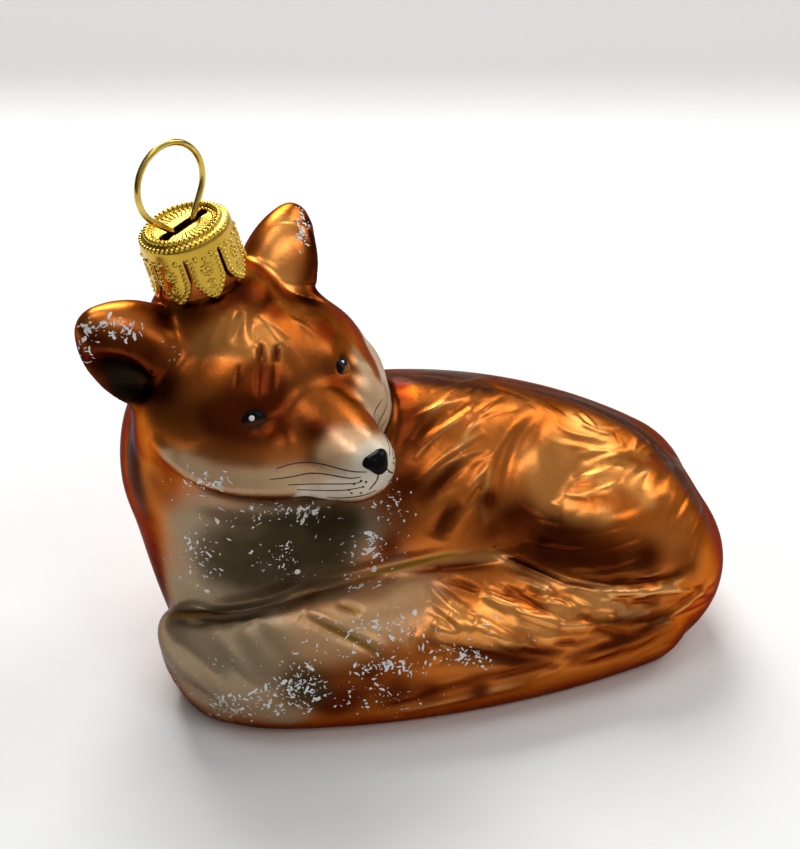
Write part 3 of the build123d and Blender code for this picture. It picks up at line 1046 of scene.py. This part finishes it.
def dome(name, skin, centre, axes, half, rise, outline, rings=9, around=48):
    """Drop of enamel on the glass: rings inside an outline, laid on the surface and swelling up.
    Returns the mesh and, for each vertex, its height in the outline from -1 to 1."""
    side, up, out = axes
    verts, height, faces = [], [], []
    for k in range(rings + 1):
        r = math.sin(math.pi / 2 * k / rings)
        for j in range(around if k else 1):
            angle = 2 * math.pi * j / around
            reach = r * outline(angle)
            x, y = reach * math.cos(angle), reach * math.sin(angle)
            goal = centre + side * x * half[0] * MM + up * y * half[1] * MM
            place, normal = skin.nearest(goal)
            lift = rise * MM * math.sqrt(max(0.0, 1 - r * r)) - DOME_ROOT
            verts.append(place + unit(normal + out) * lift)
            height.append(y)
    for j in range(around):
        faces.append((0, 1 + j, 1 + (j + 1) % around))
    for k in range(rings - 1):
        a, b = 1 + k * around, 1 + (k + 1) * around
        for j in range(around):
            m = (j + 1) % around
            faces.append((a + j, b + j, b + m, a + m))
    rim = 1 + (rings - 1) * around
    faces.append(tuple(rim + j for j in reversed(range(around))))
    mesh = bpy.data.meshes.new(name)
    mesh.from_pydata([tuple(v) for v in verts], [], faces)
    mesh.shade_smooth()
    return mesh, np.array(height)


def almond_outline(angle):
    """An ellipse with slightly drawn corners."""
    return 1 + EYE_CORNERS * math.cos(2 * angle) ** 2 * abs(math.cos(angle))


def nose_outline(angle):
    """A rounded triangle that points down."""
    return 1 + NOSE_CORNERS * math.cos(3 * (angle + math.pi / 2))


def joined(name, parts):
    """One object from meshes, each with its own material."""
    bm = bmesh.new()
    for index, (part, _) in enumerate(parts):
        start = len(bm.faces)
        bm.from_mesh(part)
        bm.faces.ensure_lookup_table()
        for face in bm.faces[start:]:
            face.material_index = index
    mesh = mesh_from(bm, name)
    for _, material in parts:
        mesh.materials.append(material)
    return new_object(name, mesh)


def face_piece(thing, node):
    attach(thing, "glass")
    if node:
        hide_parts(node)


def add_bead(bm, place, normal, radius, squash, fineness):
    """A low round dot of paint."""
    turn = Vector(normal).to_track_quat("Z", "Y").to_matrix().to_4x4()
    flat = Matrix.Translation(Vector(place)) @ turn @ Matrix.Diagonal((1, 1, squash, 1))
    bmesh.ops.create_icosphere(bm, subdivisions=fineness, radius=radius, matrix=flat)


def eyes(skin, black, white):
    """Two enamel eyes, each dark above and amber below, with a white glint."""
    up = head_axes()[:, 2]
    for name, pixel, glint, glint_radius, warmth in EYES:
        place, normal = skin.cast(*pixel)
        side = unit(np.cross(up, normal))
        axes = (side, np.cross(normal, side), normal)
        ball, height = dome(name + "_ball", skin, place, axes, EYE_HALF, EYE_RISE, almond_outline)
        give(ball, "amber", warmth * np.clip((-height - AMBER_EDGE) / AMBER_BLUR, 0, 1))
        spot = place + (side * glint[0] * EYE_HALF[0] + axes[1] * glint[1] * EYE_HALF[1]) * MM
        spot += normal * EYE_RISE * GLINT_LIFT * MM
        bm = bmesh.new()
        add_bead(bm, spot, normal, glint_radius * MM, GLINT_SQUASH, 3)
        dot = mesh_from(bm, name + "_glint")
        dot.shade_smooth()
        face_piece(joined("fox_" + name, [(ball, black), (dot, white)]), name)


def nose(skin, black):
    """Glossy rounded triangle on the muzzle's tip."""
    forward, _, up = head_axes().T
    place, normal = skin.cast(*NOSE_PIXEL)
    out = unit(normal + forward)
    side = unit(np.cross(up, out))
    axes = (side, np.cross(out, side), out)
    drop, _ = dome("nose_drop", skin, place, axes, NOSE_HALF, NOSE_RISE, nose_outline)
    face_piece(joined("fox_nose", [(drop, black)]), "nose")


def tube(bm, line, normals, radius, sides=8):
    """Thin round line along points, drawn to a point at both ends."""
    rows = []
    last = len(line) - 1
    for k, (place, normal) in enumerate(zip(line, normals)):
        ahead = unit(line[min(k + 1, last)] - line[max(k - 1, 0)])
        side = unit(np.cross(ahead, normal))
        rise = np.cross(side, ahead)
        thick = radius * (LINE_ENDS + (1 - LINE_ENDS) * math.sin(math.pi * k / last) ** 0.5)
        row = []
        for j in range(sides):
            angle = 2 * math.pi * j / sides
            turn = side * math.cos(angle) + LINE_SQUASH * rise * math.sin(angle)
            row.append(bm.verts.new(place + thick * turn))
        rows.append(row)
    for a, b in zip(rows[:-1], rows[1:]):
        for j in range(sides):
            bm.faces.new((a[j], a[(j + 1) % sides], b[(j + 1) % sides], b[j]))
    bm.faces.new(list(reversed(rows[0])))
    bm.faces.new(rows[-1])


def muzzle_lines(skin, material):
    """Whiskers, mouth and whisker dots on both sides of the muzzle."""
    bm = bmesh.new()
    for radius, pixels in LINES:
        for line in both_sides(skin.line(pixels)):
            hugged = [skin.nearest(p) for p in line]
            tube(bm, np.array([h[0] for h in hugged]), [h[1] for h in hugged], radius * MM)
    for x, y in DOTS:
        for spot in both_sides(skin.cast(x, y)[0]):
            add_bead(bm, *skin.nearest(spot), DOT_RADIUS, DOT_SQUASH, 2)
    bmesh.ops.recalc_face_normals(bm, faces=bm.faces)
    mesh = mesh_from(bm, "fox_muzzle_lines")
    mesh.shade_smooth()
    mesh.materials.append(material)
    face_piece(new_object("fox_muzzle_lines", mesh), None)


def fleck(bm, skin, place, normal, size):
    """One raised chip of white with a ragged outline."""
    side = unit(np.cross(normal, [0.3, 0.5, 0.8]))
    over = np.cross(normal, side)
    turn = random.uniform(0, 2 * math.pi)
    cos, sin = math.cos(turn), math.sin(turn)
    slim = random.uniform(*FLECK_SLIM)
    corners = random.randint(*FLECK_CORNERS)
    low, high = [], []
    for j in range(corners):
        angle = 2 * math.pi * j / corners
        reach = size * random.uniform(*FLECK_RAGGED)
        x, y = reach * math.cos(angle), slim * reach * math.sin(angle)
        flat = side * (x * cos - y * sin) + over * (x * sin + y * cos)
        foot, out = skin.nearest(place + flat)
        low.append(bm.verts.new(foot - out * FLECK_ROOT))
        high.append(bm.verts.new(foot + out * FLECK_RISE))
    bm.faces.new(high)
    for j in range(corners):
        m = (j + 1) % corners
        bm.faces.new((low[j], low[m], high[m], high[j]))


def flecks(skin, material):
    """Clusters of white flecks, like rime on the coat."""
    bm = bmesh.new()
    for x, y, half_x, half_y, count, size in FLECKS:
        for _ in range(count):
            spot = (x + half_x * random.gauss(0, FLECK_SPREAD), y + half_y * random.gauss(0, FLECK_SPREAD))
            hit = skin.cast(*spot)
            grown = size * MM * math.exp(random.gauss(*FLECK_SIZES))
            if hit is not None:
                fleck(bm, skin, *hit, grown)
    bmesh.ops.triangulate(bm, faces=bm.faces)
    bmesh.ops.recalc_face_normals(bm, faces=bm.faces)
    mesh = mesh_from(bm, "fox_flecks")
    mesh.materials.append(material)
    face_piece(new_object("fox_flecks", mesh), None)


def petal_border():
    """Bead centres along one petal's edge, as arc length from its middle and depth."""
    side = PETAL_HALF - BORDER_INSET
    tip = CAP_HEIGHT - BORDER_TIP
    taper, taper_depth = BORDER_TAPER
    corner = np.array(
        [(side, BORDER_TOP), (side, BORDER_SHOULDER), (side * taper, taper_depth), (0.0, tip)]
    )
    steps = np.linalg.norm(corner[1:] - corner[:-1], axis=1)
    far = np.concatenate([[0], np.cumsum(steps)])
    count = int(far[-1] / BEAD_STEP)
    places = np.linspace(0, far[-1], count)
    spots = list(zip(np.interp(places, far, corner[:, 0]), np.interp(places, far, corner[:, 1])))
    return spots + [(-x, z) for x, z in spots[:-1]]


def stamped_beads():
    """Centre and radius of every bead on the cap's outside, in its own frame and millimetres."""
    stamp = [(x, z, BEAD) for x, z in petal_border()] + list(TOP_BEADS)
    for depth, reach, (middle, outer), count in (
        (FLOWER_DEPTH, FLOWER_RADIUS, FLOWER_BEADS, 8),
        (RING_DEPTH, RING_RADIUS, RING_BEADS, 10),
    ):
        stamp.append((0.0, depth, middle))
        for a in np.arange(count) * 2 * math.pi / count:
            stamp.append((reach * math.cos(a), depth + reach * math.sin(a), outer))
    beads = []
    for k in range(PETALS):
        middle = 2 * math.pi * (k + 0.5) / PETALS
        for x, z, radius in stamp:
            r = CAP_RADIUS + CAP_FLARE * z / CAP_HEIGHT
            angle = middle + x / CAP_RADIUS
            beads.append((r * math.cos(angle), r * math.sin(angle), -z, radius))
    for count, r, height, radius in DISC_RINGS:
        for a in np.arange(count) * 2 * math.pi / count:
            beads.append((r * math.cos(a), r * math.sin(a), height, radius))
    return np.array(beads)


def stamped_cap(node, origin, axes):
    """The cap in fine quads with its stamping raised."""
    bm = welded(node)
    bmesh.ops.triangulate(bm, faces=bm.faces)
    mesh = remeshed(mesh_from(bm, "cap_form"), CAP_VOXEL)
    co, edges = points_of(mesh), edges_of(mesh)
    for _ in range(CAP_SOFTEN_STEPS):
        co = co + 0.5 * (neighbour_mean(co, edges) - co)
    set_points(mesh, co)
    normals = normals_of(mesh)
    local = (co - origin) @ axes / MM
    facing = normals @ axes
    radius = np.hypot(local[:, 0], local[:, 1])
    outward = (facing[:, 0] * local[:, 0] + facing[:, 1] * local[:, 1]) / np.maximum(radius, 0.01)
    on_skirt = (outward > CAP_FACING) & (radius > SKIRT_RADIUS)
    upward = facing[:, 2] > CAP_FACING
    outside = on_skirt | upward & (local[:, 2] > DISC_LOW)
    beads = stamped_beads()
    tree = KDTree(len(beads))
    for k, b in enumerate(beads):
        tree.insert(Vector(b[:3]), k)
    tree.balance()
    rise = np.zeros(len(co))
    for k in np.nonzero(outside)[0]:
        _, index, far = tree.find(Vector(local[k]))
        rise[k] = max(0.0, 1 - (far / beads[index, 3]) ** 2) ** 0.5 * beads[index, 3] / BEAD
    angle = np.arctan2(local[:, 1], local[:, 0])
    rib = outside & upward & (radius > RIB_REACH[0]) & (radius < RIB_REACH[1])
    rise += rib * RIB_RISE * (0.5 + 0.5 * np.cos(RIBS * angle))
    set_points(mesh, co + normals * (rise * BEAD_RISE * MM)[:, None])
    # Painted shade: lower on the unstamped surface and lowest inside the cap
    raised = STAMP_FLOOR + (1 - STAMP_FLOOR) * np.clip(rise, 0, 1)
    give(mesh, "raised", np.where(outside, raised, STAMP_INSIDE))
    mesh.shade_smooth()
    return mesh


def backdrop():
    """White paper under the fox, which slopes up behind it."""
    a = math.radians(AZIMUTH)
    away = np.array([-math.sin(a), math.cos(a)])
    over = np.array([math.cos(a), math.sin(a)])
    slope = math.radians(SWEEP_SLOPE)
    profile = [(-SWEEP_FRONT, 0.0), (SWEEP_START, 0.0)]
    for t in np.linspace(0.05, slope, 10):
        profile.append((SWEEP_START + SWEEP_BEND * math.sin(t), SWEEP_BEND * (1 - math.cos(t))))
    far, height = profile[-1]
    profile.append((far + SWEEP_RISE * math.cos(slope), height + SWEEP_RISE * math.sin(slope)))
    verts = []
    for far, height in profile:
        for side in (-SWEEP_HALF, SWEEP_HALF):
            verts.append((*(away * far + over * side), height))
    faces = [(2 * k, 2 * k + 1, 2 * k + 3, 2 * k + 2) for k in range(len(profile) - 1)]
    mesh = bpy.data.meshes.new("backdrop")
    mesh.from_pydata(verts, [], faces)
    mesh.shade_smooth()
    mesh.materials.append(paper())
    new_object("backdrop", mesh)


def paper():
    """White paper with a faint grain, which greys with its height."""
    n = Nodes("paper_white")
    split = n.tree.nodes.new("ShaderNodeSeparateXYZ")
    n.link(n.tree.nodes.new("ShaderNodeTexCoord").outputs["Object"], split.inputs["Vector"])
    grain = n.mix(n.ramp(n.noise(PAPER_GRAIN, 4), *NOISE_MIDDLE), *PAPER_WHITE)
    colour = n.mix(n.ramp(split.outputs["Z"], 0.0, PAPER_GREY_HEIGHT), grain, PAPER_GREY)
    n.link(colour, n.shader.inputs["Base Color"])
    n.set(Roughness=PAPER_ROUGH, Specular_IOR_Level=PAPER_SPECULAR)
    return n.material


def softbox(name, heading, elevation, size, brightness):
    """Square lamp aimed at the fox, at a heading from +X and an elevation in degrees."""
    lamp = bpy.data.lights.new(name, "AREA")
    lamp.size = size
    lamp.energy = brightness * math.pi * size**2
    thing = new_object(name, lamp)
    h, e = math.radians(heading), math.radians(elevation)
    away = Vector((math.cos(e) * math.cos(h), math.cos(e) * math.sin(h), math.sin(e)))
    thing.location = Vector(TARGET) + LAMP_DISTANCE * away
    thing.rotation_euler = away.to_track_quat("Z", "Y").to_euler()


def room():
    """World light: dim behind the fox and to its left, brighter in front, to the right and overhead."""
    world = bpy.data.worlds.new("room")
    world.use_nodes = True
    tree = world.node_tree
    place = tree.nodes.new("ShaderNodeTexCoord")
    facing = tree.nodes.new("ShaderNodeVectorMath")
    facing.operation = "DOT_PRODUCT"
    facing.inputs[1].default_value = ROOM_BRIGHT_SIDE
    ramp = tree.nodes.new("ShaderNodeValToRGB")
    tree.links.new(place.outputs["Generated"], facing.inputs[0])
    tree.links.new(facing.outputs["Value"], ramp.inputs["Fac"])
    for element, (position, colour) in zip(ramp.color_ramp.elements, ROOM_RAMP):
        element.position = position
        element.color = colour
    background = tree.nodes["Background"]
    tree.links.new(ramp.outputs["Color"], background.inputs["Color"])
    background.inputs["Strength"].default_value = ROOM_STRENGTH
    bpy.context.scene.world = world


def camera():
    """The photograph's camera."""
    lens = bpy.data.cameras.new("camera")
    lens.sensor_width = SENSOR
    lens.lens = FOCAL * SENSOR / max(PICTURE)
    lens.clip_start = 0.01
    thing = new_object("camera", lens)
    _, _, back = camera_axes()
    thing.location = TARGET + back * DISTANCE
    thing.rotation_euler = Vector(-back).to_track_quat("-Z", "Y").to_euler()
    bpy.context.scene.camera = thing
    bpy.context.scene.view_settings.view_transform = "Standard"


def glass(frame, origin, axes):
    """The fox itself. Returns its finished surface for the pieces that lie on it."""
    mesh = remeshed(outer_skin(frame["nodes"]["glass_body"], origin, axes), GLASS_VOXEL)
    local = (points_of(mesh) - origin) @ axes
    hold = ((np.hypot(local[:, 0], local[:, 1]) < NECK_REACH) & (local[:, 2] > -NECK_DROP)).astype(float)
    soften(mesh, hold)
    smooth = Skin(mesh)
    carve(mesh, smooth, hold)
    skin = Skin(mesh)
    airbrush(mesh, skin)
    mesh.shade_smooth()
    mesh.materials.append(lacquer())
    fox = new_object("fox_glass", mesh)
    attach(fox, "glass")
    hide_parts("glass_body")
    return skin


def metal(frame, origin, axes):
    """The stamped cap, and the wire hanger as it stands."""
    mesh = stamped_cap(frame["nodes"]["cap"], origin, axes)
    mesh.materials.append(gold("cap_gold", CAP_GOLD, CAP_ROUGH, "raised"))
    cap = new_object("crown_cap", mesh)
    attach(cap, "cap")
    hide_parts("cap")
    wire = frame["nodes"]["hanger"]
    wire.data.materials.clear()
    wire.data.materials.append(gold("wire_gold", WIRE_GOLD, WIRE_ROUGH))
    wire.data.shade_smooth()


random.seed(7)
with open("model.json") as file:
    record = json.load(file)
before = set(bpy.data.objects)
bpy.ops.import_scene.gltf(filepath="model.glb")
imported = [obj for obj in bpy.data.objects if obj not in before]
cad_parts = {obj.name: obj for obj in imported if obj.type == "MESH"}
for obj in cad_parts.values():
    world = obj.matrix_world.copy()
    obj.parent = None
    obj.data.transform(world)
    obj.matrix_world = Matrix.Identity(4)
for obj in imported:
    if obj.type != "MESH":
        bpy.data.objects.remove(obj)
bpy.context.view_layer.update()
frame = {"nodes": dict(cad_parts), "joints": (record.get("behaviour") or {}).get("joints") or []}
origin, axes = cap_axes(frame["joints"])
skin = glass(frame, origin, axes)
black = enamel()
white = brushed_paint("white_enamel", WHITE_PAINT)
eyes(skin, black, white)
nose(skin, black)
muzzle_lines(skin, brushed_paint("liner_black", LINER_PAINT))
flecks(skin, white)
metal(frame, origin, axes)
backdrop()
room()
for lamp in LAMPS:
    softbox(*lamp)
camera()
